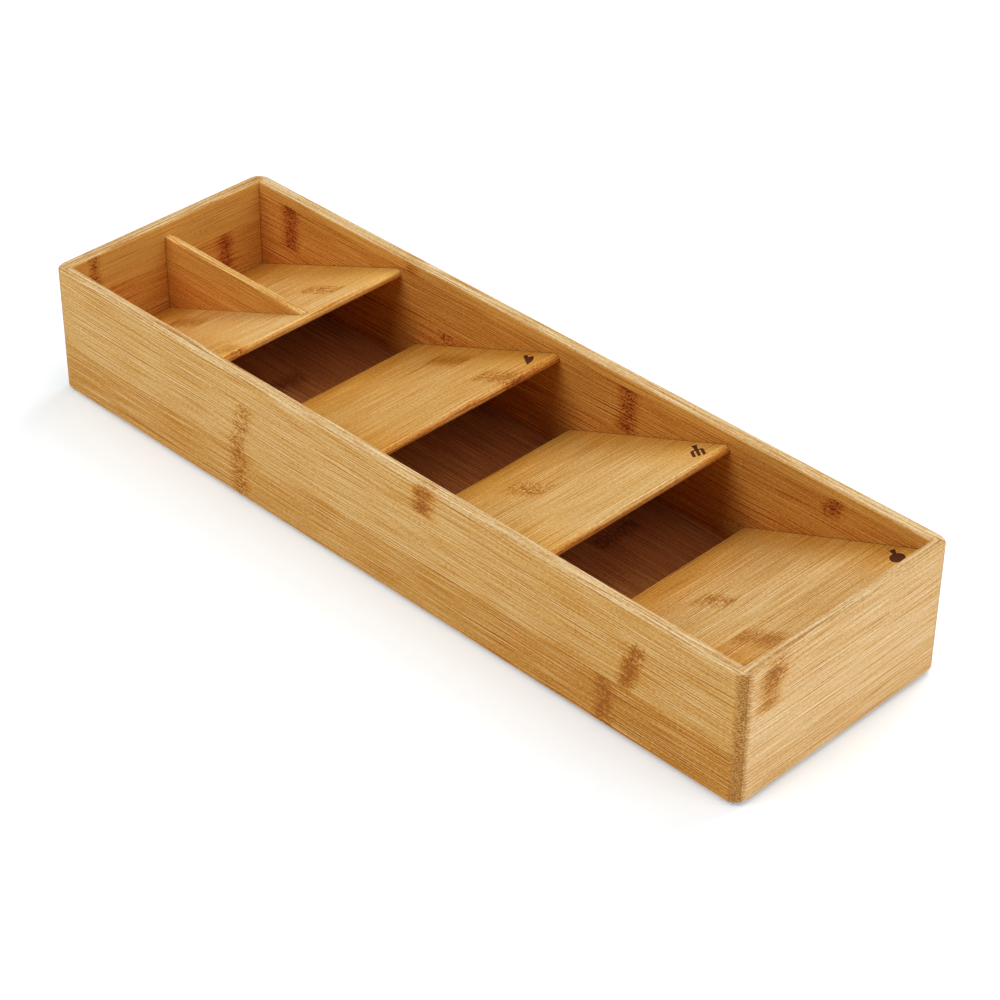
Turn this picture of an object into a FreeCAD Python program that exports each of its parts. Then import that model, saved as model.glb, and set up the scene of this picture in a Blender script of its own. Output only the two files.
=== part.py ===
"""A bamboo cutlery tray for a drawer: a glued frame round a base, with slanted ramps and a bin divider.

Millimetres, +Z up. The origin is under the middle of the tray, on the surface it stands on. +X runs
along the tray towards the spoon end, and -Y faces the front long side.
"""

import FreeCAD, Part
import math
import os

# Frame of boards
tray_length = 400.0
tray_width = 120.0
wall_height = 61.0
wall_thickness = 6.0
corner_radius = 6.0
board_edge_round = 1.0
corner_tongue = 3.0

# Joints between the boards
groove_depth = 2.0
joint_clearance = 0.1
cut_overrun = 10.0

# Base panel
base_thickness = 5.0
base_lift = 4.0

# Ramps, from the bins to the spoons
ramp_names = ("bin_ramp", "knife_ramp", "fork_ramp", "spoon_ramp")
ramp_thickness = 4.0
ramp_low_round = 1.0
nose_drop = 6.5
nose_setback = 2.2
low_end_setback = 7.0
low_end_lift = 9.2
ramp_shift_shares = (0.0, 0.0, -0.02, 0.0)

# Divider between the two small bins
divider_thickness = 4.0
divider_seat = 1.0
divider_tip_height = 0.3
divider_edge_round = 0.7

# Burnt marks on the ramps
mark_length = 14.0
mark_width = 5.6
mark_depth = 0.3
mark_from_nose = 10.5
mark_from_end_board = 9.4
mark_from_side = 7.7
mark_turn = 37.0
mark_middle_share = 0.5
handle_length_share = 0.36
handle_end_share = 0.42
handle_neck_share = 0.25
fork_root_share = 0.52
fork_tines = 3
tine_width_share = 0.24
bowl_start_share = 0.31
bowl_width_share = 1.1
knife_back_share = -0.3
knife_grip_share = 0.02
knife_handle_share = 0.28
blade_heel_share = 0.36
blade_belly_shares = (0.72, 0.24)

# Stick-on feet
foot_diameter = 8.0
foot_height = 2.0
foot_inset = 5.5
foot_edge_round = 0.6

# Places that follow from the sizes above
half_length = tray_length / 2
half_width = tray_width / 2
inner_half_length = half_length - wall_thickness
inner_half_width = half_width - wall_thickness
wall_bottom = foot_height
wall_top = wall_bottom + wall_height
base_bottom = wall_bottom + base_lift
base_top = base_bottom + base_thickness
bay_length = 2 * inner_half_length / len(ramp_names)
nose_radius = ramp_thickness / 2
nose_top = wall_top - nose_drop
nose_z = nose_top - nose_radius
low_z = base_top + low_end_lift
ramp_run = bay_length - low_end_setback - nose_setback - nose_radius
ramp_angle = math.degrees(math.atan2(nose_z - low_z, ramp_run))
ramp_slope_length = math.hypot(nose_z - low_z, ramp_run)
X = FreeCAD.Vector(1, 0, 0)
Y = FreeCAD.Vector(0, 1, 0)
Z = FreeCAD.Vector(0, 0, 1)


def block(x0, x1, y0, y1, z0, z1):
    """A box between two corners."""
    return Part.makeBox(x1 - x0, y1 - y0, z1 - z0, FreeCAD.Vector(x0, y0, z0))


def prism(points, rise):
    """A polygon carried along a vector."""
    return Part.Face(Part.makePolygon(list(points) + [points[0]])).extrude(rise)


def edges_along(shape, axis):
    """The straight edges that run along an axis."""
    straight = [edge for edge in shape.Edges if edge.Curve.TypeId == "Part::GeomLine"]
    return [edge for edge in straight if edge.Curve.Direction.isParallel(axis, Part.Precision.angular())]


def level_edges(shape, z):
    """The edges whose ends all lie at one height."""
    near = Part.Precision.confusion()
    return [edge for edge in shape.Edges if all(abs(vertex.Z - z) < near for vertex in edge.Vertexes)]


def frame_ring():
    """The frame before it is split into boards: round corners outside, and rims eased inside and out."""
    body = block(-half_length, half_length, -half_width, half_width, wall_bottom, wall_top)
    body = body.makeFillet(corner_radius, edges_along(body, Z))
    ring = body.cut(block(-inner_half_length, inner_half_length, -inner_half_width, inner_half_width,
                          wall_bottom, wall_top))
    return ring.makeFillet(board_edge_round, level_edges(ring, wall_bottom) + level_edges(ring, wall_top))


def ramp_place(index):
    """Where a ramp's nose centre lies: the end of its bay, set back, with its own small shift."""
    bay_end = -inner_half_length + bay_length * (index + 1 + ramp_shift_shares[index])
    turn = FreeCAD.Rotation(Y, -ramp_angle)
    return FreeCAD.Placement(FreeCAD.Vector(bay_end - nose_setback - nose_radius, 0, nose_z), turn)


def ramp_blank(index, half_span, growth):
    """A slanted board, built flat with its nose centre at the origin, then tilted into place.

    The first ramp runs on down to its end board and the last one up to its own, so those ends are left
    long here and cut to length later.
    """
    first = index == 0
    last = index == len(ramp_names) - 1
    half_thick = nose_radius + growth
    low = -ramp_slope_length - growth - (low_end_setback + cut_overrun if first else 0)
    high = nose_setback + ramp_thickness + cut_overrun if last else 0
    board = block(low, high, -half_span, half_span, -half_thick, half_thick)
    if not last:
        board = board.fuse(Part.makeCylinder(half_thick, 2 * half_span, -half_span * Y, Y)).removeSplitter()
    board.Placement = ramp_place(index)
    return board


def side_board(side):
    """A full-length side board: lapped over the end boards, and grooved for the base and for each ramp."""
    inner = side * inner_half_width
    outer = side * half_width
    low_y, high_y = sorted((inner, outer))
    board = frame_ring().common(block(-half_length, half_length, low_y, high_y, wall_bottom, wall_top))
    lap_y = sorted((inner - side * cut_overrun, side * (half_width - corner_tongue)))
    for end in (-1, 1):
        lap_x = sorted((end * (inner_half_length - joint_clearance), end * (half_length + cut_overrun)))
        board = board.cut(block(*lap_x, *lap_y, wall_bottom - cut_overrun, wall_top + cut_overrun))
    groove_half_width = inner_half_width + groove_depth
    slots = [base_slot()]
    slots += [ramp_blank(index, groove_half_width, joint_clearance) for index in range(len(ramp_names))]
    return board.cut(slots)


def base_slot():
    """The space cut for the base: its four grooves, as one slab through the frame."""
    reach_x = inner_half_length + groove_depth
    reach_y = inner_half_width + groove_depth
    return block(-reach_x, reach_x, -reach_y, reach_y,
                 base_bottom - joint_clearance, base_top + joint_clearance)


def end_board(end):
    """An end board, held between the side boards' tongues and grooved for the base."""
    reach = half_width - corner_tongue - joint_clearance
    low_x, high_x = sorted((end * inner_half_length, end * half_length))
    board = frame_ring().common(block(low_x, high_x, -reach, reach, wall_bottom, wall_top))
    return board.cut(base_slot())


def base_panel():
    """The base, with its edges in the frame's grooves."""
    reach_x = inner_half_length + groove_depth - joint_clearance
    reach_y = inner_half_width + groove_depth - joint_clearance
    return block(-reach_x, reach_x, -reach_y, reach_y, base_bottom, base_top)


def mark_x(length_share):
    """A place along a mark, from its handle's end, measured from the mark's middle."""
    return (length_share - mark_middle_share) * mark_length


def mark_bar(start_share, end_share, side_share, width_share):
    """A straight bar of a mark, from its length shares and its place and width across."""
    low = (side_share - width_share / 2) * mark_width
    high = low + width_share * mark_width
    return block(mark_x(start_share), mark_x(end_share), low, high, -mark_depth, mark_depth)


def mark_point(length_share, side_share):
    """A point on the floor of a mark, from its shares of the mark's length and width."""
    return FreeCAD.Vector(mark_x(length_share), side_share * mark_width, -mark_depth)


def mark_handle():
    """A short handle that flares towards its end."""
    half_end = handle_end_share / 2
    half_neck = handle_neck_share / 2
    corners = [mark_point(0, -half_end), mark_point(0, half_end),
               mark_point(handle_length_share, half_neck), mark_point(handle_length_share, -half_neck)]
    return prism(corners, 2 * mark_depth * Z)


def knife_mark():
    """A knife in one outline: a straight back, a curved edge, and a narrow grip behind the heel."""
    point = mark_point(1, knife_back_share)
    heel = mark_point(knife_handle_share, blade_heel_share)
    edge = Part.Arc(point, mark_point(*blade_belly_shares), heel).toShape()
    grip = [heel, mark_point(knife_handle_share, knife_grip_share), mark_point(0, knife_grip_share),
            mark_point(0, knife_back_share), point]
    outline = Part.Wire([edge] + Part.makePolygon(grip).Edges)
    return [Part.Face(outline).extrude(2 * mark_depth * Z)]


def fork_arch(side_share, pitch_share):
    """A half ring that joins two tines at their roots."""
    centre = mark_point(fork_root_share, side_share)
    outer = (pitch_share + tine_width_share) / 2 * mark_width
    inner = (pitch_share - tine_width_share) / 2 * mark_width
    ring = Part.makeCylinder(outer, 2 * mark_depth, centre)
    ring = ring.cut(Part.makeCylinder(inner, 2 * mark_depth, centre))
    return ring.common(mark_bar(0, fork_root_share, 0, 1))


def fork_mark():
    """A handle, and a row of tines joined by arches, with the handle running on into the middle tine."""
    gaps = fork_tines - 1
    pitch_share = (1 - tine_width_share) / gaps
    tine_places = [pitch_share * (n - gaps / 2) for n in range(fork_tines)]
    arch_places = [pitch_share * (n - (gaps - 1) / 2) for n in range(gaps)]
    tines = [mark_bar(fork_root_share, 1, place, tine_width_share) for place in tine_places]
    arches = [fork_arch(place, pitch_share) for place in arch_places]
    neck = mark_bar(handle_length_share, fork_root_share, 0, handle_neck_share)
    return [mark_handle(), neck] + arches + tines


def spoon_mark():
    """A handle and an oval bowl."""
    half_bowl = (1 - bowl_start_share) / 2 * mark_length
    centre = FreeCAD.Vector(mark_x(bowl_start_share) + half_bowl, 0, -mark_depth)
    oval = Part.Ellipse(centre, half_bowl, bowl_width_share * mark_width / 2).toShape()
    bowl = Part.Face(Part.Wire(oval)).extrude(2 * mark_depth * Z)
    return [mark_handle(), bowl]


def mark_cutters(index, shapes):
    """Lays a mark on a ramp's upper face, near its top edge and the rear side board, turned to the front."""
    last = index == len(ramp_names) - 1
    wall_gap = inner_half_length - ramp_place(index).Base.x
    wall_reach = wall_gap / math.cos(math.radians(ramp_angle))
    middle = wall_reach - mark_from_end_board if last else nose_radius - mark_from_nose
    spot = FreeCAD.Vector(middle, inner_half_width - mark_from_side, nose_radius)
    on_board = FreeCAD.Placement(spot, FreeCAD.Rotation(Z, -mark_turn))
    for shape in shapes:
        shape.Placement = ramp_place(index).multiply(on_board).multiply(shape.Placement)
    return shapes


def ramp(index, marks):
    """A finished ramp: cut to the end board it meets, eased at its low edge, with its mark sunk in."""
    board = ramp_blank(index, inner_half_width + groove_depth - joint_clearance, 0)
    reach = inner_half_length - joint_clearance
    board = board.common(block(-reach, reach, -half_width, half_width, base_top, wall_top))
    low_edge = ramp_place(index).multVec(FreeCAD.Vector(-ramp_slope_length, 0, nose_radius))
    sharp = [e for e in edges_along(board, Y) if e.CenterOfMass.distanceToPoint(low_edge) < ramp_low_round]
    board = board.makeFillet(ramp_low_round, sharp) if index else board
    return board.cut(marks) if marks else board


def divider_outline(growth):
    """The divider's side view: down the end board, up the first ramp's face, then along its level top."""
    place = ramp_place(0)
    seat = nose_radius - divider_seat
    slope = math.tan(math.radians(ramp_angle))
    start = place.multVec(FreeCAD.Vector(0, 0, seat))
    foot_x = -inner_half_length - groove_depth + joint_clearance - growth
    foot_z = start.z - slope * (start.x - foot_x) - growth
    face = place.multVec(FreeCAD.Vector(0, 0, nose_radius))
    tip_x = face.x - (face.z - nose_top + divider_tip_height) / slope + growth
    tip_z = start.z - slope * (start.x - tip_x) - growth
    return [FreeCAD.Vector(foot_x, 0, foot_z), FreeCAD.Vector(tip_x, 0, tip_z),
            FreeCAD.Vector(tip_x, 0, nose_top + growth), FreeCAD.Vector(foot_x, 0, nose_top + growth)]


def divider_solid(growth):
    """The divider's outline carried across its thickness."""
    half_thick = divider_thickness / 2 + growth
    points = [point - half_thick * Y for point in divider_outline(growth)]
    return prism(points, 2 * half_thick * Y)


def bin_divider():
    """The upright divider, eased along its top."""
    body = divider_solid(0)
    top_edges = [e for e in edges_along(body, X) if abs(e.CenterOfMass.z - nose_top) < divider_edge_round]
    return body.makeFillet(divider_edge_round, top_edges)


def foot(x_side, y_side):
    """A stick-on bumper: a short round disc, eased at its lower rim, under one corner."""
    place = FreeCAD.Vector(x_side * (half_length - foot_inset), y_side * (half_width - foot_inset), 0)
    disc = Part.makeCylinder(foot_diameter / 2, foot_height, place)
    return disc.makeFillet(foot_edge_round, level_edges(disc, 0))


def build():
    """All the pieces, by node name."""
    divider_slot = divider_solid(joint_clearance)
    marks = {"knife_ramp": knife_mark(), "fork_ramp": fork_mark(), "spoon_ramp": spoon_mark()}
    nodes = {
        "front_side_board": side_board(-1),
        "rear_side_board": side_board(1),
        "left_end_board": end_board(-1).cut(divider_slot),
        "right_end_board": end_board(1),
        "base_panel": base_panel(),
        "bin_divider": bin_divider(),
    }
    for index, name in enumerate(ramp_names):
        nodes[name] = ramp(index, mark_cutters(index, marks.get(name, [])))
    nodes["bin_ramp"] = nodes["bin_ramp"].cut(divider_slot)
    for y_name, y_side in (("front", -1), ("rear", 1)):
        for x_name, x_side in (("left", -1), ("right", 1)):
            nodes[f"foot_{y_name}_{x_name}"] = foot(x_side, y_side)
    return nodes


os.makedirs("parts", exist_ok=True)
print(f"ramp angle {ramp_angle:.2f} degrees, ramp length {ramp_slope_length:.1f} mm")
for node, shape in build().items():
    print(f"{node}: {len(shape.Solids)} solid, valid {shape.isValid()}, {shape.Volume:.0f} mm3")
    shape.exportStep(f"parts/{node}.step")
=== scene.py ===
# %% [markdown]
# # A bamboo cutlery tray for a drawer
#
# The tray is a glued frame of bamboo boards with slanted ramps inside. Its shapes come from the packed
# model, so this lesson is about the finish: how flat-pressed bamboo gets its strips, its fibres, its
# knuckles and its speckled end grain, and how a plain studio shows them.

import math

import bpy
import numpy as np
from mathutils import Matrix, Vector


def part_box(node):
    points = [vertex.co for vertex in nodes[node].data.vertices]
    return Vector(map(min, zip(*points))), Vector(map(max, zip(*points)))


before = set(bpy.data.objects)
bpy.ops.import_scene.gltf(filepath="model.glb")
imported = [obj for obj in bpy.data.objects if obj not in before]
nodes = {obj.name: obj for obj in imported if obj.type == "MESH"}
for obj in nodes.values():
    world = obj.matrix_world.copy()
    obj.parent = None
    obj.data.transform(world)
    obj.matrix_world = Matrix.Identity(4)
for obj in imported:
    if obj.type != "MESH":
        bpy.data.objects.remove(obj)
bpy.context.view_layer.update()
MM = 0.001


print("pieces:", ", ".join(sorted(nodes)))

# %% [markdown]
# ## Writing shader maths as Python
#
# A material is a graph of nodes. It could be wired up node by node, but that hides the formula, so a
# small class wraps one socket instead. Plus, minus, times and divide on it add the Math nodes, and one
# method adds any other node. The formulas below then read like ordinary sums.


# %% A socket that does sums
def set_stops(ramp, stops):
    """Gives a colour ramp its stops, as pairs of a place from 0 to 1 and a colour."""
    while len(ramp.elements) < len(stops):
        ramp.elements.new(1.0)
    for element, (place, colour) in zip(ramp.elements, stops):
        element.position = place
        element.color = colour


class Wire:
    """One output socket of a node tree. Sums on wires add Math nodes, and node() adds any other kind."""

    def __init__(self, tree, socket=None):
        self.tree = tree
        self.socket = socket

    def node(self, kind, settings, sockets, out=0):
        """Adds a node: its settings are set first, then each socket takes a value or a link."""
        made = self.tree.nodes.new(kind)
        for key, value in settings.items():
            if key == "stops":
                set_stops(made.color_ramp, value)
            elif key == "interpolation":
                made.color_ramp.interpolation = value
            else:
                setattr(made, key, value)
        for key, value in sockets.items():
            if isinstance(value, Wire):
                self.tree.links.new(value.socket, made.inputs[key])
            else:
                made.inputs[key].default_value = value
        return Wire(self.tree, made.outputs[out] if made.outputs else None)

    def sum(self, operation, first, second=0.0):
        return self.node("ShaderNodeMath", {"operation": operation}, {0: first, 1: second})

    def __add__(self, other):
        return self.sum("ADD", self, other)

    def __sub__(self, other):
        return self.sum("SUBTRACT", self, other)

    def __rsub__(self, other):
        return self.sum("SUBTRACT", other, self)

    def __mul__(self, other):
        return self.sum("MULTIPLY", self, other)

    def __truediv__(self, other):
        return self.sum("DIVIDE", self, other)

    def __rtruediv__(self, other):
        return self.sum("DIVIDE", other, self)

    def __abs__(self):
        return self.sum("ABSOLUTE", self)

    __radd__ = __add__
    __rmul__ = __mul__


print("wires ready")


# %% Colours, steps and noise
def paint(red, green, blue):
    """A colour as a paint card gives it, 0 to 255, turned into linear light by the screen's curve."""
    card = np.array([red, green, blue]) / 255
    light = np.where(card <= 0.04045, card / 12.92, ((card + 0.055) / 1.055) ** 2.4)
    return (*light.tolist(), 1.0)


def rise(value, low, high):
    """A smooth step: 0 below low, 1 above high."""
    sockets = {0: value, 1: low, 2: high, 3: 0.0, 4: 1.0}
    return value.node("ShaderNodeMapRange", {"interpolation_type": "SMOOTHSTEP"}, sockets)


def band(value, low, high, soft):
    """1 between two edges, 0 outside them, with soft sides."""
    return rise(value, low - soft, low + soft) * (1 - rise(value, high - soft, high + soft))


def blend(factor, first, second):
    """Two colours mixed by a factor from 0 to 1. A Mix node's colours are its sockets 6 and 7."""
    sockets = {0: factor, 6: first, 7: second}
    return factor.node("ShaderNodeMix", {"data_type": "RGBA", "clamp_factor": True}, sockets, 2)


NOISE_MIDDLE = 0.5
SMOOTH = 1.0
BROKEN = 2.0


def cloud(place, detail=SMOOTH):
    """Soft noise from 0 to 1 at a place. Broken noise has one more layer of detail than smooth noise."""
    sockets = {"Vector": place, "Scale": 1.0, "Detail": detail}
    return place.node("ShaderNodeTexNoise", {"noise_dimensions": "3D"}, sockets)


def waver(place, detail=SMOOTH):
    """Soft noise that wavers about 0."""
    return cloud(place, detail) - NOISE_MIDDLE


def along_axis(vector, direction):
    """The part of a vector that lies along a direction: their dot product."""
    return vector.node("ShaderNodeVectorMath", {"operation": "DOT_PRODUCT"}, {0: vector, 1: direction}, 1)


print("shader helpers ready")

# %% [markdown]
# ## How a bamboo board is made up
#
# A board is pressed from flat strips, each a little over 20 mm wide and of its own shade. Fibres run
# along the strip. Every so often the strip crosses a knuckle of the cane, where the fibres curl and the
# wood is rusty and flecked. Each board here is described by its directions, in its own frame: along the
# grain, across the strips and through the thickness. Then the strips, the knuckles and the joints are
# listed in millimetres.
#
# The pattern could be painted on a picture and wrapped round the boards. A solid pattern is used
# instead: it runs right through the wood, so that the faces, the rims and the sawn ends of a board agree
# wherever they meet.


# %% The ramps' slope, measured on a ramp
def largest_slope(name):
    """The way that a node's largest upward face points."""
    faces = nodes[name].data.polygons
    normals = np.empty(3 * len(faces), dtype=np.float32)
    areas = np.empty(len(faces), dtype=np.float32)
    faces.foreach_get("normal", normals)
    faces.foreach_get("area", areas)
    normals = normals.reshape(-1, 3)
    return normals[np.argmax(areas * (normals[:, 2] > 0))].tolist()


OUT_OF_RAMP = tuple(largest_slope("knife_ramp"))
UPHILL = (OUT_OF_RAMP[2], 0.0, -OUT_OF_RAMP[0])
NOSE_RADIUS = 2.0
NOSE_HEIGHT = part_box("knife_ramp")[1][2] / MM - NOSE_RADIUS
slope = math.degrees(math.asin(UPHILL[2]))
print("ramp nose height", round(NOSE_HEIGHT, 2), "mm, slope", round(slope, 2), "degrees")


# %% The ramps' noses
def nose_of(name):
    """The centre of a ramp's rounded nose, in millimetres.

    The last ramp runs into the end board, so its centre is counted on from the first two: the bays are
    equal.
    """
    if name == "spoon_ramp":
        first_nose, second_nose = nose_of("bin_ramp")[0], nose_of("knife_ramp")[0]
        return (second_nose + 2 * (second_nose - first_nose), 0.0, NOSE_HEIGHT)
    return (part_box(name)[1][0] / MM - NOSE_RADIUS, 0.0, NOSE_HEIGHT)


for name in ("bin_ramp", "knife_ramp", "fork_ramp", "spoon_ramp"):
    print(name, "has its nose at", round(nose_of(name)[0], 1), "mm")


# %% Shades of wood, each from dark to pale
def between(first, second, share):
    """A wood that lies a share of the way from one to another."""
    mixed = np.array(first) * (1 - share) + np.array(second) * share
    return [tuple(colour) for colour in mixed.tolist()]


TONE_STOPS = (0.0, 0.32, 0.58, 0.95)
PLAIN = (paint(158, 92, 30), paint(194, 132, 50), paint(213, 166, 92), paint(231, 203, 150))
# A warmer, deeper wood for faces inside the tray: painted shade, not a different bamboo
WARM_IN_SHADE = (paint(136, 62, 32), paint(184, 99, 38), paint(206, 136, 55), paint(228, 176, 90))
CREAM = (paint(158, 98, 42), paint(202, 144, 69), paint(216, 176, 116), paint(235, 210, 170))
STRAW = (paint(160, 98, 36), paint(196, 142, 60), paint(212, 174, 110), paint(232, 208, 163))
# A deeper amber, used only as painted shade on the ramps
SHADE_AMBER = (paint(162, 94, 24), paint(198, 134, 38), paint(216, 158, 64), paint(232, 190, 102))
SANDED = (paint(152, 100, 48), paint(192, 146, 86), paint(208, 177, 126), paint(232, 210, 172))
# A dark russet bamboo, partly real and partly painted shade for the dark bays under the ramps
RUSSET_WITH_PAINTED_SHADE = (paint(116, 60, 34), paint(152, 84, 42), paint(172, 104, 54), paint(196, 134, 78))
print("each wood has", len(TONE_STOPS), "shades, at the tones", TONE_STOPS)

# %% Ways to describe a board
X, Y, Z = (1.0, 0.0, 0.0), (0.0, 1.0, 0.0), (0.0, 0.0, 1.0)
ORIGIN = (0.0, 0.0, 0.0)
WHOLE = (0.0, 1.0)
KNUCKLE_HALF = 4.5


def knuckle(strip, place, stain, curls, dots, lean=0.0, half=KNUCKLE_HALF, part=WHOLE):
    """A knuckle: its strip's number, its place along the grain, and how strong its marks are.

    The marks are a stain, curls and dots. The knuckle leans by so much along the grain for each millimetre
    across, half is half its length, and part is the share of the strip's width that it covers.
    """
    return {"strip": strip, "place": place, "stain": stain, "curls": curls, "dots": dots, "lean": lean,
            "half": half, "part": part}


def joint(beside, across, through):
    """A glue line on both sides of a board's middle, and its ranges across and through the board."""
    return {"beside": beside, "across": across, "through": through}


def board(start, along, across, through, wood, strips, shades, knuckles=(), joints=(), mark=None, rim=0.0,
          rim_wood=SANDED, outer=None, later=None):
    """A board: where it is measured from, its three directions, its wood, and what shows on it.

    strips gives the first strip's edge and the strips' width, mark is how far uphill of the nose a burnt
    mark lies, and rim is how much paler the sanded rim is than its wood. Where these differ, outer is the
    wood of the outer half of the thickness, and the board's own warmer wood on the inner half is painted
    shade; later gives the strips' shades further along.
    """
    return {"start": start, "along": along, "across": across, "through": through, "wood": wood,
            "edge": strips[0], "width": strips[1], "shades": shades, "later": later, "knuckles": knuckles,
            "joints": joints, "mark": mark, "rim": rim, "rim_wood": rim_wood, "outer": outer}


def long_board(*described, **more):
    """A board on edge along the tray: grain along X, strips stacked up Z."""
    return board(ORIGIN, X, Z, Y, *described, **more)


def end_board(*described, **more):
    """A board on edge across the tray: grain along Y, strips stacked up Z."""
    return board(ORIGIN, Y, Z, X, *described, **more)


print("a knuckle is", 2 * KNUCKLE_HALF, "mm long unless its board says otherwise")

# %% The walls
INNER_HALF_WIDTH = -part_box("front_side_board")[1][1] / MM
DIVIDER_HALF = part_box("bin_divider")[1][1] / MM
LEFT_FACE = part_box("left_end_board")[1][0] / MM
RIGHT_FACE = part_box("right_end_board")[0][0] / MM
GLUE_SINKS = 0.6
GLUE_STANDS = 1.0
LEFT_GLUE = (LEFT_FACE - GLUE_SINKS, LEFT_FACE + GLUE_STANDS)
RIGHT_GLUE = (RIGHT_FACE - GLUE_STANDS, RIGHT_FACE + GLUE_SINKS)
CORNER_HEIGHTS = (2.0, 61.0)
DIVIDER_HEIGHTS = (19.5, 56.3)
# Where a board has an outer wood, its own warmer, deeper wood on the inner half is painted shade inside
# the tray
WALLS = {
    "front_side_board": long_board(
        PLAIN, (1.5, 24.0), shades=(-0.06, 0.05, 0.03), later=(-0.18, -0.01, 0.0), knuckles=(
            knuckle(1, -77.0, 0.35, 0.7, 0.2, lean=0.3),
            knuckle(0, -79.0, 0.4, 0.6, 0.2, half=5.0),
            knuckle(2, 33.5, 0.95, 0.6, 0.4, lean=0.1, half=5.0),
            knuckle(1, 147.0, 0.4, 1.0, 0.35, lean=0.27, half=4.0, part=(0.45, 1.0)),
            knuckle(1, 144.0, 0.95, 0.6, 0.35, lean=0.27, half=4.0, part=(0.0, 0.65)),
            knuckle(0, 132.0, 0.45, 0.5, 0.3))),
    "rear_side_board": long_board(
        WARM_IN_SHADE, (-8.0, 22.0), shades=(-0.1, -0.02, 0.07, 0.22), outer=PLAIN, knuckles=(
            knuckle(2, -173.0, 0.9, 0.3, 1.0, half=5.0),
            knuckle(3, -93.0, 0.6, 0.3, 0.3),
            knuckle(2, 37.0, 0.8, 0.5, 0.9, lean=0.1, half=5.0),
            knuckle(2, 147.0, 0.75, 0.4, 1.0, lean=0.3, part=(0.6, 1.0)),
            knuckle(1, -70.0, 0.1, 1.0, 0.0))),
    # Inside, the left wall's strips grow paler upwards: painted shade, darker towards the bottom of the
    # bin
    "left_end_board": end_board(
        WARM_IN_SHADE, (-4.0, 24.0), shades=(0.0, 0.12, 0.3), rim=-0.12, outer=CREAM, knuckles=(
            knuckle(2, -42.0, 0.9, 0.3, 0.9, half=3.0),
            knuckle(1, 32.0, 0.9, 0.3, 0.8, half=4.0)),
        joints=(
            joint(INNER_HALF_WIDTH, CORNER_HEIGHTS, LEFT_GLUE),
            joint(DIVIDER_HALF, DIVIDER_HEIGHTS, LEFT_GLUE))),
    "right_end_board": end_board(
        CREAM, (-5.0, 23.0), shades=(0.03, 0.09, 0.04), rim=-0.12, knuckles=(
            knuckle(2, -45.0, 1.0, 0.25, 0.25, lean=0.05, half=5.4, part=(0.0, 0.85)),
            knuckle(2, -41.0, 0.4, 0.55, 0.0, half=6.0, part=(0.45, 1.0))),
        joints=(joint(INNER_HALF_WIDTH, CORNER_HEIGHTS, RIGHT_GLUE),)),
}
print("walls", round(2 * INNER_HALF_WIDTH, 1), "mm and", round(RIGHT_FACE - LEFT_FACE, 1), "mm apart")

# %% The base, the divider and the ramps
RAMP_GLUE = (NOSE_RADIUS - GLUE_STANDS, NOSE_RADIUS + GLUE_STANDS)
WHOLE_RAMP = (-120.0, 20.0)
UNDER_DIVIDER = (-120.0, -2.5)
WALL_JOINT = joint(INNER_HALF_WIDTH, WHOLE_RAMP, RAMP_GLUE)
DIVIDER_JOINT = joint(DIVIDER_HALF, UNDER_DIVIDER, RAMP_GLUE)


def ramp_board(name, *described, joints=(WALL_JOINT,), **more):
    """A ramp: grain along Y, strips side by side up the slope, measured from the centre of its nose."""
    return board(nose_of(name), Y, UPHILL, OUT_OF_RAMP, *described, joints=joints, **more)


INSIDE = {
    # The base is darker wood with darker strips still: partly painted shade in the bays under the ramps
    "base_panel": board(
        ORIGIN, X, Y, Z, RUSSET_WITH_PAINTED_SHADE, (-60.0, 24.0), shades=(-0.08, -0.14, -0.03, -0.1, -0.08), knuckles=(
            knuckle(2, -120.0, 0.6, 0.5, 0.5),
            knuckle(3, 60.0, 0.7, 0.5, 0.5),
            knuckle(1, 150.0, 0.6, 0.5, 0.5))),
    # The divider's lower strip is darker: painted shade low in the bin
    "bin_divider": long_board(WARM_IN_SHADE, (14.0, 24.0), shades=(0.02, 0.14), rim_wood=PLAIN, outer=STRAW),
    # The bin ramp takes a little of the deeper inner wood, and its strips darken downhill: painted shade
    # in the bin
    "bin_ramp": ramp_board(
        "bin_ramp", between(PLAIN, WARM_IN_SHADE, 0.15), (-98.0, 22.0),
        shades=(-0.08, 0.0, 0.02, 0.05, 0.12), joints=(WALL_JOINT, DIVIDER_JOINT), knuckles=(
            knuckle(4, -41.0, 0.5, 0.5, 0.1),
            knuckle(3, 26.0, 0.4, 1.0, 0.1),
            knuckle(1, -17.0, 0.5, 0.4, 0.1))),
    "knife_ramp": ramp_board(
        "knife_ramp", between(PLAIN, STRAW, 0.5), (-108.0, 22.0),
        shades=(-0.12, -0.1, -0.08, -0.07, -0.09), mark=-8.5, knuckles=(
            knuckle(4, 27.0, 0.4, 1.0, 0.2, half=5.0),
            knuckle(2, 39.5, 0.8, 0.3, 0.1, half=5.0))),
    "fork_ramp": ramp_board(
        "fork_ramp", STRAW, (-94.0, 23.0),
        shades=(-0.08, -0.08, -0.05, -0.02, 0.01), mark=-8.5, knuckles=(
            knuckle(1, -2.0, 0.32, 1.0, 0.1, half=5.5),)),
    "spoon_ramp": ramp_board(
        "spoon_ramp", between(STRAW, SANDED, 0.5), (-88.2, 22.3),
        shades=(-0.13, -0.11, -0.06, -0.13, -0.13), mark=-4.9, knuckles=(
            knuckle(3, -28.0, 0.65, 0.5, 0.1, half=5.0),
            knuckle(1, -6.5, 0.35, 0.8, 0.1, part=(0.2, 1.0)))),
}
BOARDS = {**WALLS, **INSIDE}
print(len(BOARDS), "boards,", sum(len(each["knuckles"]) for each in BOARDS.values()), "knuckles")

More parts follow.
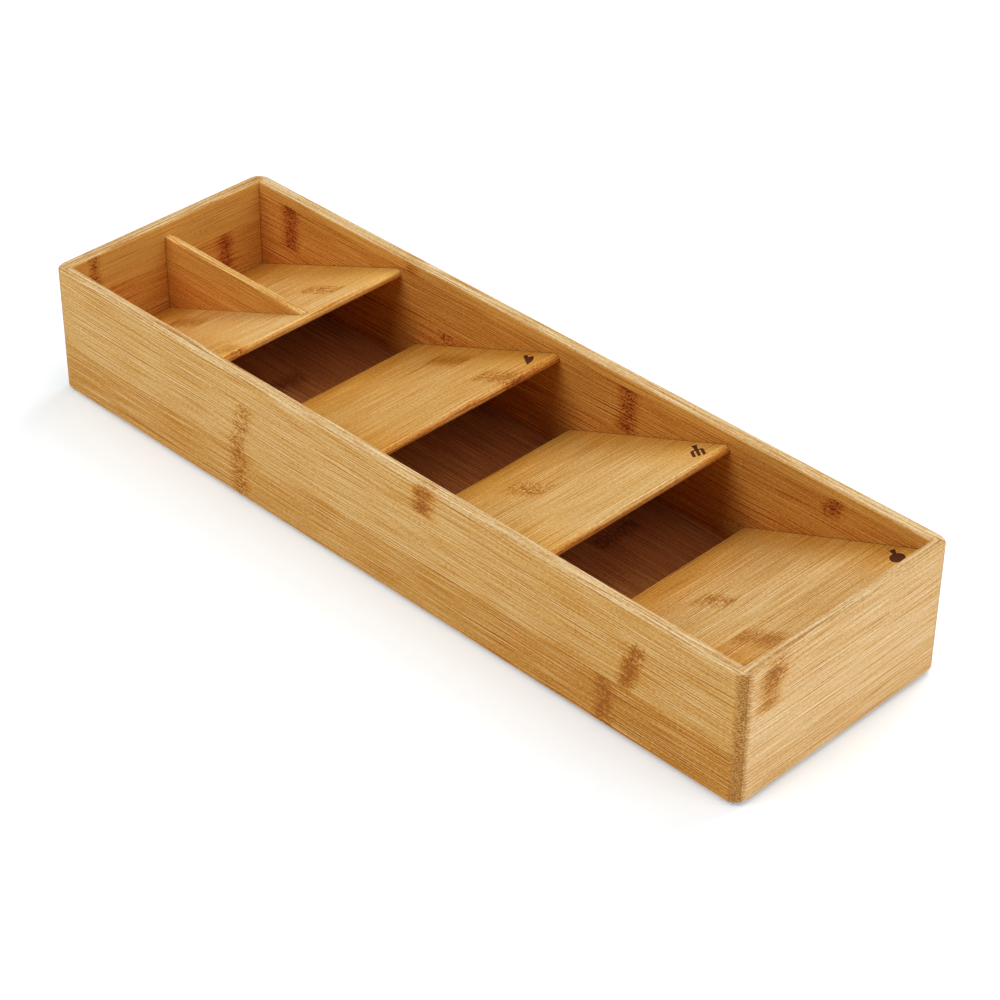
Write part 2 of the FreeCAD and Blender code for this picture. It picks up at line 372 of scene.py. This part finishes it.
# %% [markdown]
# ## Strips and fibres
#
# Seen close, bamboo is a mat of parallel fibres, straw-pale where the pith shows and rusty where the
# bundles lie. They could be drawn as lines. Noise stretched along the grain is used instead, because it
# never repeats: fine hairs, short ticks and soft patches are added up to one tone, and a comb of
# wandering lines comes and goes over them. The tone then picks the colour.
#
# Each strip has its own step up or down in tone, and on one board the steps change on the way along,
# because the real strips there grow deeper in colour towards one end.

# %% Strips
STRIP_SLOTS = 8
STRIP_MIDDLE = 0.5
MID_GREY = 0.5
SHADE_TURNS = (0.0, 160.0)


def wood_colour(tone, wood):
    """The colour that a tone picks from a kind of wood, dark at 0 and pale towards 1."""
    return tone.node("ShaderNodeValToRGB", {"stops": list(zip(TONE_STOPS, wood))}, {0: tone})


def step_shade(number, shades):
    """The shade of a strip by its number, looked up on a stepped ramp of greys."""
    greys = [(MID_GREY + shade,) * 3 + (1.0,) for shade in shades]
    stops = [((n + STRIP_MIDDLE) / STRIP_SLOTS, grey) for n, grey in enumerate(greys)]
    settings = {"stops": stops, "interpolation": "CONSTANT"}
    place = (number + STRIP_MIDDLE) / STRIP_SLOTS
    return number.node("ShaderNodeValToRGB", settings, {0: place}) - MID_GREY


def strips(at, made):
    """Each strip's number, counted from the first edge, and its shade as a step up or down in tone."""
    number = (at[1] - made["edge"]) / made["width"]
    number = number.sum("FLOOR", number)
    shade = step_shade(number, made["shades"])
    if made["later"]:
        turn = rise(at[0], *SHADE_TURNS)
        shade = shade * (1 - turn) + step_shade(number, made["later"]) * turn
    return number, shade


print("strips", sorted({each["width"] for each in BOARDS.values()}), "mm wide")

# %% Fibres
# A cell of noise has its length along the grain, its width across it, and a shift that keeps noises apart
HAIR_CELL = (32.0, 0.5)
TICK_CELL = (1.5, 0.5, 5.0)
PATCH_CELL = (18.0, 5.0)
THREAD_CELL = (120.0, 1.7)
WANDER_CELL = (60.0, 2.6, 9.0)
COMB_PITCH = 1.2
COMB_LEAN = 0.7
COMB_WANDER = 14.0
COMB_SHOWS = (0.3, 0.6)
MIDDLE_TONE = 0.54
HAIR_DEPTH = 1.22
TICK_DEPTH = 0.8
COMB_DEPTH = 0.22
PATCH_DEPTH = 0.12
SHADE_DEPTH = 1.2


def cells(at, long, wide, shift=0.0):
    """The three distances stretched into cells that are long along the grain and wide across it."""
    along, across, through = at
    sockets = {0: along / long, 1: across / wide, 2: through / wide + shift}
    return along.node("ShaderNodeCombineXYZ", {}, sockets)


def comb(at):
    """Wandering lines: a sine across the grain, pushed about by noise, that shows along some threads."""
    wander = cloud(cells(at, *WANDER_CELL)) * COMB_WANDER
    turns = (at[1] + at[2] * COMB_LEAN) * (math.tau / COMB_PITCH) + wander
    return turns.sum("SINE", turns) * rise(cloud(cells(at, *THREAD_CELL)), *COMB_SHOWS)


def fibres(at, shade):
    """The tone of the fibres, from dark at 0 to pale at 1, and the finest hairs by themselves."""
    hairs = waver(cells(at, *HAIR_CELL))
    ticks = waver(cells(at, *TICK_CELL))
    patches = waver(cells(at, *PATCH_CELL), BROKEN)
    tone = MIDDLE_TONE + hairs * HAIR_DEPTH + ticks * TICK_DEPTH + comb(at) * COMB_DEPTH
    return tone + patches * PATCH_DEPTH + shade * SHADE_DEPTH, hairs


print("hairs", HAIR_CELL[1], "mm wide, comb lines every", COMB_PITCH, "mm")

# %% [markdown]
# ## Knuckles
#
# At a knuckle the cane had a wall across it. There the strip is stained, its fibres curl, and the cut
# ends of some bundles show as dark dots. A stamp of one knuckle could be repeated, but each one on the
# tray differs, so every knuckle is worked out from its own place, lean and strengths. Stain and curls
# only shift the fibres' tone, so that they keep the colours of the wood. The curls are contour lines:
# places where soft noise passes through one value.

# %% Where the knuckles are
RAGGED_CELL = (14.0, 0.8)
RAGGED_SHIFT = 31.0
RAGGED_DEPTH = 1.6
STRIP_EDGE = 0.25
PART_EDGE = 2.5
ZONE_FADES = {"stain": (0.0, 1.8), "curls": (0.4, 1.5), "dots": (0.3, 1.0)}


def knuckle_zones(at, made, seed):
    """Masks for a board's knuckles: the stain, the curls and the dots.

    The distance from the knuckle along the grain, over its half length and made ragged by streaky noise,
    fades each mask out, and the strip's two edges cut it off.
    """
    along, across = at[:2]
    ragged = waver(cells(at, *RAGGED_CELL, seed * RAGGED_SHIFT), BROKEN) * RAGGED_DEPTH
    zones = dict.fromkeys(ZONE_FADES, 0.0)
    for each in made["knuckles"]:
        low, high = (made["edge"] + (each["strip"] + share) * made["width"] for share in each["part"])
        middle = each["place"] + (across - (low + high) / 2) * each["lean"]
        away = abs((along - middle) / each["half"] + ragged)
        inside = band(across, low, high, STRIP_EDGE if each["part"] == WHOLE else PART_EDGE)
        for kind, fade in ZONE_FADES.items():
            zones[kind] = zones[kind] + (1 - rise(away, *fade)) * inside * each[kind]
    return zones


print("knuckles fade out, in half lengths:", ZONE_FADES)

# %% What a knuckle looks like
CURL_CELL = (2.8, 2.0, 3.0)
CURL_LINE = (0.015, 0.06)
CURL_EDDY = (0.03, 0.18)
STAIN_DEPTH = 0.4
CURL_DEPTH = 0.6
CURL_HEIGHT = 0.18
BUNDLE_CELL = (1.8, 1.25)
BUNDLE_SIZE = (0.2, 0.42)
BUNDLE_SCATTER = 0.9
DOT_BROWN = paint(66, 28, 12)


def knuckle_tone(tone, at, zones):
    """The fibres' tone, darker in a stain, and with dark lines and pale eddies where the fibres curl."""
    contour = waver(cells(at, *CURL_CELL))
    lines = 1 - rise(abs(contour), *CURL_LINE)
    eddies = rise(contour, *CURL_EDDY)
    curled = zones["curls"] * (eddies * CURL_HEIGHT - lines * CURL_DEPTH)
    return tone - zones["stain"] * STAIN_DEPTH + curled


def spots(place):
    """The distance from a place to the nearest of many scattered points."""
    sockets = {"Vector": place, "Scale": 1.0, "Randomness": BUNDLE_SCATTER}
    return place.node("ShaderNodeTexVoronoi", {"voronoi_dimensions": "3D", "feature": "F1"}, sockets)


def with_dots(colour, at, dots):
    """The cut ends of bundles: dark dots, scattered through a knuckle."""
    bundles = 1 - rise(spots(cells(at, *BUNDLE_CELL)), *BUNDLE_SIZE)
    return blend(dots * bundles, colour, DOT_BROWN)


print("bundles about", BUNDLE_CELL[1], "mm apart")

# %% [markdown]
# ## Sawn ends, plies, oil, joints and burnt marks
#
# Where a board is cut across, its fibres show end-on as specks. Sanded rims are paler. Some boards are
# given a warmer, deeper wood on their inner half than on their outer half, as painted shade inside the
# tray, and on the ramps a deeper amber is painted as shade towards the walls and the low edge, and
# deeper wood as shade on the front of the rounded nose. Glue lines are thin and dark, and the little
# pictures of cutlery are burnt into shallow recesses. All of these could be separate pieces of mesh, but
# each is only a change of colour on a shape that is already there, so they are masks too: the sawn ends,
# rims and noses follow the way the surface faces, and the rest follow measured places.

# %% Sawn ends and glue lines
SAWN_TAN = paint(196, 148, 82)
SAWN_SPECK = paint(126, 72, 24)
SAWN_TURN = (0.12, 0.6)
SAWN_COVER = 0.8
FRAY = 0.5
SPECK_CELL = (40.0, 0.5, 11.0)
SPECK_EDGE = (0.42, 0.58)
JOINT_BROWN = paint(80, 40, 16)
GLUE_HALF = 0.35
GLUE_BLUR = 0.2
GLUE_DEPTH_BLUR = 0.1
GLUE_BREAKS = (-0.15, 0.1)
GLUE_COVER = 0.8


def with_sawn_ends(colour, at, facing, made, hairs):
    """Specks where the surface faces along the grain, with fibres that fray into them."""
    sawn = rise(abs(along_axis(facing, made["along"])) + hairs * FRAY, *SAWN_TURN) * SAWN_COVER
    specks = 1 - rise(cloud(cells(at, *SPECK_CELL)), *SPECK_EDGE)
    return blend(sawn * specks, blend(sawn, colour, SAWN_TAN), SAWN_SPECK)


def with_joints(colour, at, made, hairs):
    """Thin dark glue lines, broken up by the grain."""
    along, across, through = at
    for each in made["joints"]:
        line = band(abs(along), each["beside"] - GLUE_HALF, each["beside"] + GLUE_HALF, GLUE_BLUR)
        line = line * band(across, *each["across"], GLUE_BLUR)
        line = line * band(through, *each["through"], GLUE_DEPTH_BLUR)
        colour = blend(line * rise(hairs, *GLUE_BREAKS) * GLUE_COVER, colour, JOINT_BROWN)
    return colour


print("glue lines", 2 * GLUE_HALF, "mm wide")

# %% Outer halves, painted shade on the ramps and burnt marks
OUTER_HALF_BLUR = 0.2
# How far the painted shade on a ramp reaches from the walls and the low edge, in millimetres
RAMP_LENGTH = 92.4
POOL_BESIDE = 36.0
POOL_BELOW = 46.0
POOL_PAST = 4.0
SCORCH = paint(72, 34, 18)
MARK_FROM_MIDDLE = 46.3
MARK_REACH = 8.4
MARK_BLUR = 0.2
RECESS_DEEPEST = 1.0
RECESS_LEAST = 0.05
RECESS_BLUR = 0.02


def outer_half(at, made, name):
    """1 in the half of a board's thickness that faces away from the tray's middle."""
    middle = float(np.mean(np.array(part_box(name)) @ made["through"])) / MM
    outwards = at[2] * (-1.0 if middle < 0 else 1.0)
    return rise(outwards, abs(middle) - OUTER_HALF_BLUR, abs(middle) + OUTER_HALF_BLUR)


def painted_shade_pool(at):
    """Painted shade on a ramp: a deeper amber towards the walls and towards the low edge."""
    along, across = at[:2]
    beside = rise(abs(along), INNER_HALF_WIDTH - POOL_BESIDE, INNER_HALF_WIDTH + POOL_PAST)
    below = rise(0 - across, RAMP_LENGTH - POOL_BELOW, RAMP_LENGTH + POOL_PAST)
    return beside.sum("MAXIMUM", beside, below)


def with_mark(colour, at, uphill_of_nose):
    """Scorched wood on the floor of a recess, within reach of the mark's middle."""
    along, across, through = at
    sideways = along - MARK_FROM_MIDDLE
    uphill = across - uphill_of_nose
    near = 1 - rise(sideways * sideways + uphill * uphill, (MARK_REACH - MARK_BLUR) ** 2, MARK_REACH ** 2)
    sunk = band(through, NOSE_RADIUS - RECESS_DEEPEST, NOSE_RADIUS - RECESS_LEAST, RECESS_BLUR)
    return blend(near * sunk, colour, SCORCH)


marked = [name for name, each in BOARDS.items() if each["mark"] is not None]
print("burnt marks on", ", ".join(marked))

# %% [markdown]
# ## One finish for each board
#
# All the boards are bamboo, so one material with switches could serve them all. Each board gets a graph
# of its own instead, which holds only what that board shows. The fibres are read from places that flow
# with the grain: each strip slides along by its own amount, so that no line runs on from one strip into
# the next, a slow drift bends the lines, and knuckles stir them. The oil leaves the wood nearly matt, a
# little smoother along some hairs than others.

# %% Where a board is looked up
SLIDE = 900.0
SLIDE_SHIFT = 13.7
EDDY_CELL = (3.2, 2.2)
EDDY_SHIFT = 17.0
STIR_ALONG = 14.0
STIR_ACROSS = 4.0
DRIFT_CELL = (70.0, 14.0)
DRIFT_SHIFT = 7.0
DRIFT = 3.0
BOARD_SHIFT = 40.0


def places_on(tree, per_metre):
    """Places in the piece's own frame, counted in so many steps to the metre."""
    spot = Wire(tree).node("ShaderNodeTexCoord", {}, {}, "Object")
    return spot.node("ShaderNodeVectorMath", {"operation": "SCALE"}, {0: spot, 3: per_metre})


def board_places(tree, made):
    """The distances in millimetres along, across and through a board, from where it is measured."""
    spot = places_on(tree, 1 / MM)
    axes = (made["along"], made["across"], made["through"])
    return [along_axis(spot, axis) - float(np.dot(axis, made["start"])) for axis in axes]


def grain_flow(at, number, curls, seed):
    """Where the fibres are read: strips slid along, bent by a slow drift and stirred in the curls."""
    strip = number + seed * SLIDE_SHIFT
    slide = strip.node("ShaderNodeTexWhiteNoise", {"noise_dimensions": "1D"}, {"W": strip})
    stir = waver(cells(at, *EDDY_CELL, seed * EDDY_SHIFT)) * curls
    drift = waver(cells(at, *DRIFT_CELL, seed * DRIFT_SHIFT))
    along = at[0] + slide * SLIDE + stir * STIR_ALONG
    across = at[1] + drift * DRIFT + stir * STIR_ACROSS
    return along, across, at[2] + seed * BOARD_SHIFT


print("boards lie", BOARD_SHIFT, "mm apart in the noise")

# %% The wood on each face
RIM_TURN = (0.3, 0.9)
RIM_COVER = 0.9
RIM_CLEARS = 0.8
# Painted shade on the front of a ramp's rounded nose
NOSE_SHADE_TURN = (0.6, 0.95)
NOSE_SHADE_COVER = 0.7
SHADE_POOL_COVER = 0.85
SHADE_POOL_DEPTH = 0.1


def rim_of(facing):
    """1 where the surface faces up, as a sanded rim does."""
    return rise(along_axis(facing, Z), *RIM_TURN)


def face_colour(name, made, at, facing, tone, shade):
    """The wood's colour: its outer half, then the rim of a board on edge, or painted shade on a ramp's
    corners and nose.
    """
    colour = wood_colour(tone, made["wood"])
    # The inner half keeps the board's deeper wood as painted shade; the outer half takes the outer wood
    if made["outer"]:
        colour = blend(outer_half(at, made, name), colour, wood_colour(tone, made["outer"]))
    if made["across"] == Z:
        rim_colour = wood_colour(tone - shade * SHADE_DEPTH + made["rim"], made["rim_wood"])
        return blend(rim_of(facing) * RIM_COVER, colour, rim_colour)
    if made["across"] == UPHILL:
        # Painted shade: deeper amber towards the walls and the low edge, where the ramp lies in shade
        colour = blend(painted_shade_pool(at) * SHADE_POOL_COVER, colour, wood_colour(tone - SHADE_POOL_DEPTH, SHADE_AMBER))
        # Painted shade: deeper, warmer wood where the nose faces uphill and is out of the light
        nose = rise(along_axis(facing, UPHILL), *NOSE_SHADE_TURN)
        return blend(nose * NOSE_SHADE_COVER, colour, wood_colour(tone, WARM_IN_SHADE))
    return colour


on_edge = [name for name, each in BOARDS.items() if each["across"] == Z]
print("sanded rims on", ", ".join(on_edge))

# %% Finish the boards
GLOSS = 0.08
ROUGHNESS = 0.6
ROUGHNESS_VARIES = 0.3
GRAIN_STRENGTH = 0.25
GRAIN_HEIGHT = 0.15


def new_material(name):
    """A new material, its node tree and its surface shader."""
    material = bpy.data.materials.new(name)
    material.use_nodes = True
    return material, material.node_tree, material.node_tree.nodes["Principled BSDF"]


def bamboo(name, made, seed):
    """A finished bamboo material for one board, on the board's own coordinates in millimetres."""
    material, tree, surface = new_material(f"bamboo_{name}")
    facing = Wire(tree).node("ShaderNodeNewGeometry", {}, {}, "Normal")
    at = board_places(tree, made)
    number, shade = strips(at, made)
    zones = knuckle_zones(at, made, seed)
    if made["across"] == Z:
        kept = 1 - rim_of(facing) * RIM_CLEARS
        zones = {kind: zone * kept for kind, zone in zones.items()}
    flow = grain_flow(at, number, zones["curls"], seed)
    tone, hairs = fibres(flow, shade)
    if made["knuckles"]:
        tone = knuckle_tone(tone, at, zones)

    colour = face_colour(name, made, at, facing, tone, shade)
    if made["knuckles"]:
        colour = with_dots(colour, at, zones["dots"])
    colour = with_sawn_ends(colour, flow, facing, made, hairs)
    colour = with_joints(colour, at, made, hairs)
    if made["mark"] is not None:
        colour = with_mark(colour, at, made["mark"])

    grain = {"Strength": GRAIN_STRENGTH, "Distance": GRAIN_HEIGHT * MM, "Height": hairs}
    surface.inputs["Specular IOR Level"].default_value = GLOSS
    tree.links.new(colour.socket, surface.inputs["Base Color"])
    tree.links.new((ROUGHNESS + hairs * ROUGHNESS_VARIES).socket, surface.inputs["Roughness"])
    tree.links.new(hairs.node("ShaderNodeBump", {}, grain).socket, surface.inputs["Normal"])
    return material


def dress(name, material):
    """Gives a piece one material in place of what it came with."""
    nodes[name].data.materials.clear()
    nodes[name].data.materials.append(material)


for seed, (name, made) in enumerate(BOARDS.items(), start=1):
    finish = bamboo(name, made, seed)
    dress(name, finish)
    print(name, "finished with", len(finish.node_tree.nodes), "nodes")

# %% [markdown]
# ## The clear feet
#
# Small clear bumpers are stuck under the corners: soft plastic, slightly cloudy, that grips the drawer.
# Plain glass would look too hard and bright, so the plastic lets only part of the light through, and
# soft noise makes its surface a little uneven in gloss and tint.

# %% Clear rubber
RUBBER_CLEAR = 0.7
RUBBER_IOR = 1.45
RUBBER_ROUGHNESS = 0.1
HAZE_ROUGHNESS = 0.3
HAZE_PER_MM = 0.9
HAZE_DARK = paint(205, 205, 202)
HAZE_PALE = paint(235, 235, 232)


def clear_rubber():
    """Cloudy clear rubber, rougher and paler where the haze is thick."""
    material, tree, surface = new_material("clear_rubber")
    haze = cloud(places_on(tree, HAZE_PER_MM / MM), BROKEN)
    surface.inputs["Transmission Weight"].default_value = RUBBER_CLEAR
    surface.inputs["IOR"].default_value = RUBBER_IOR
    tree.links.new((RUBBER_ROUGHNESS + haze * HAZE_ROUGHNESS).socket, surface.inputs["Roughness"])
    tree.links.new(blend(haze, HAZE_DARK, HAZE_PALE).socket, surface.inputs["Base Color"])
    return material


rubber = clear_rubber()
feet = [name for name in nodes if name.startswith("foot_")]
for name in feet:
    dress(name, rubber)
print("feet:", ", ".join(feet))

# %% [markdown]
# ## The studio floor and its white surround
#
# Product pictures like this are taken on a white paper sweep. The paper could be lit until it burns out,
# but that would bleach the wood too. Instead the paper is plain white, and it glows a little only for
# rays that show the background: from the camera, off gloss and through the clear feet. It still takes
# the tray's shadow, and further out, where a real sweep turns up, those rays find it plain white.

# %% Floor
FLOOR_SIZE = 6.0
FLOOR_LINES = 13


def square_grid(size, lines):
    """A flat square of quads: the points are all pairs of evenly spaced x and y, at height 0."""
    steps = np.linspace(-size / 2, size / 2, lines)
    x, y = np.meshgrid(steps, steps)
    points = np.stack([x, y, np.zeros_like(x)], axis=-1).reshape(-1, 3)
    first = (np.arange(lines - 1)[:, None] * lines + np.arange(lines - 1)).ravel()
    quads = np.stack([first, first + 1, first + lines + 1, first + lines], axis=1)
    return points.tolist(), quads.tolist()


points, quads = square_grid(FLOOR_SIZE, FLOOR_LINES)
floor_mesh = bpy.data.meshes.new("floor")
floor_mesh.from_pydata(points, [], quads)
floor = bpy.data.objects.new("floor", floor_mesh)
bpy.context.collection.objects.link(floor)
print("floor", FLOOR_SIZE, "m wide, of", len(quads), "quads")

# %% White paper
WHITE = (1.0, 1.0, 1.0, 1.0)
PAPER = (0.85, 0.85, 0.85, 1.0)
SHOWN_PAPER = (0.9, 0.96, 1.0, 1.0)
PAPER_GLOW = 0.24
FULL_WHITE = 1.0
SWEEP_TURNS_UP = (0.45, 0.9)


def shown(tree):
    """1 for the rays that show the background: from the camera, off gloss or through something clear."""
    rays = ("Is Camera Ray", "Is Glossy Ray", "Is Transmission Ray")
    paths = [Wire(tree).node("ShaderNodeLightPath", {}, {}, ray) for ray in rays]
    return paths[0].sum("MINIMUM", paths[0] + paths[1] + paths[2], 1.0)


def white_sweep():
    """Paper that keeps the tray's shadow near it, and that is plain white where the sweep turns up."""
    material = bpy.data.materials.new("white_sweep")
    material.use_nodes = True
    tree = material.node_tree
    tree.nodes.clear()
    start = Wire(tree)
    matt = start.node("ShaderNodeBsdfDiffuse", {}, {"Color": PAPER})
    bleached = start.node("ShaderNodeBsdfDiffuse", {}, {"Color": SHOWN_PAPER})
    glow = start.node("ShaderNodeEmission", {}, {"Color": WHITE, "Strength": PAPER_GLOW})
    white = start.node("ShaderNodeEmission", {}, {"Color": WHITE, "Strength": FULL_WHITE})
    lit = start.node("ShaderNodeAddShader", {}, {0: bleached, 1: glow})
    paper = start.node("ShaderNodeMixShader", {}, {0: shown(tree), 1: matt, 2: lit})
    spot = start.node("ShaderNodeTexCoord", {}, {}, "Object")
    away = start.node("ShaderNodeVectorMath", {"operation": "LENGTH"}, {0: spot}, 1)
    turned_up = rise(away, *SWEEP_TURNS_UP) * shown(tree)
    paper = start.node("ShaderNodeMixShader", {}, {0: turned_up, 1: paper, 2: white})
    start.node("ShaderNodeOutputMaterial", {}, {"Surface": paper})
    return material


floor_mesh.materials.append(white_sweep())
print("paper turns up between", *SWEEP_TURNS_UP, "m from the tray's middle")

# %% White surround
AMBIENT = 0.01


def studio_world():
    """A world that is white to look at and gives only a little light."""
    world = bpy.data.worlds.new("studio")
    world.use_nodes = True
    tree = world.node_tree
    tree.nodes.clear()
    start = Wire(tree)
    dim = start.node("ShaderNodeBackground", {}, {"Color": WHITE, "Strength": AMBIENT})
    bright = start.node("ShaderNodeBackground", {}, {"Color": WHITE, "Strength": FULL_WHITE})
    sky = start.node("ShaderNodeMixShader", {}, {0: shown(tree), 1: dim, 2: bright})
    start.node("ShaderNodeOutputWorld", {}, {"Surface": sky})
    return world


bpy.context.scene.world = studio_world()
print("ambient light", AMBIENT)

# %% [markdown]
# ## The lamps
#
# A tray is a set of pits, so the lamps decide how deep it looks. One lamp overhead could light it all,
# but then the outer faces would be dull and the bays flat. Four softboxes hang high instead: one above,
# one in front, one behind for the ramps and one at the end for the walls that face it. Two long low
# cards add light to the outer faces only, because they stand so low that the tray's own walls keep it
# out of the bays.

# %% Lamps
# Each lamp has its place, where it aims, its width and height, all in metres, and its power in watts
CARD_AIM = (0.0, 0.0, 0.04)
LAMPS = {
    "softbox_above": ((0.0, 0.05, 1.25), ORIGIN, (1.3, 1.0), 4.2),
    "softbox_in_front": ((-0.3, -1.0, 1.1), ORIGIN, (1.0, 1.0), 11.0),
    "softbox_behind": ((0.0, 1.0, 1.1), ORIGIN, (1.0, 1.0), 12.9),
    "softbox_at_the_end": ((1.0, 0.1, 1.1), ORIGIN, (1.0, 1.0), 5.5),
    "card_in_front": ((-0.2, -0.95, 0.06), CARD_AIM, (1.6, 0.12), 1.65),
    "card_at_the_end": ((1.05, 0.0, 0.06), CARD_AIM, (1.4, 0.12), 3.8),
}
for name, (place, aim, size, power) in LAMPS.items():
    lamp = bpy.data.lights.new(name, "AREA")
    lamp.shape = "RECTANGLE"
    lamp.size, lamp.size_y = size
    lamp.energy = power
    stand = bpy.data.objects.new(name, lamp)
    stand.location = place
    stand.rotation_euler = (Vector(aim) - Vector(place)).to_track_quat("-Z", "Y").to_euler()
    stand.visible_camera = False
    bpy.context.collection.objects.link(stand)
    print(name, "at", place, "m,", power, "W")

# %% [markdown]
# ## The camera
#
# The tray is seen from above its front right corner. A camera could be aimed by eye, but then edges
# drift, so its place, turn and focal length were worked out from the tray's own corners.

# %% Camera
CAMERA_PLACE = (0.701378, -0.693300, 0.716879)
CAMERA_AZIMUTH = math.radians(44.651)
CAMERA_ELEVATION = math.radians(35.637)
CAMERA_ROLL = math.radians(0.501)
FOCAL_LENGTH = 104.0945
SENSOR_WIDTH = 36.0
FARTHEST = 20.0


def camera_turn(azimuth, elevation, roll):
    """The camera's right, up and backward directions as a turn, from its three angles."""
    level = Vector((math.cos(azimuth), math.sin(azimuth), 0.0))
    ahead = Vector((-math.sin(azimuth), math.cos(azimuth), 0.0))
    back = Vector(Z) * math.sin(elevation) - ahead * math.cos(elevation)
    upright = back.cross(level)
    right = level * math.cos(roll) + upright * math.sin(roll)
    up = upright * math.cos(roll) - level * math.sin(roll)
    return Matrix((right, up, back)).transposed().to_4x4()


lens = bpy.data.cameras.new("camera")
lens.sensor_width = SENSOR_WIDTH
lens.lens = FOCAL_LENGTH
lens.clip_end = FARTHEST
camera = bpy.data.objects.new("camera", lens)
turn = camera_turn(CAMERA_AZIMUTH, CAMERA_ELEVATION, CAMERA_ROLL)
camera.matrix_world = Matrix.Translation(CAMERA_PLACE) @ turn
bpy.context.collection.objects.link(camera)
bpy.context.scene.camera = camera
bpy.context.scene.view_settings.view_transform = "Standard"
print("camera at", CAMERA_PLACE, "m, focal length", FOCAL_LENGTH, "mm")
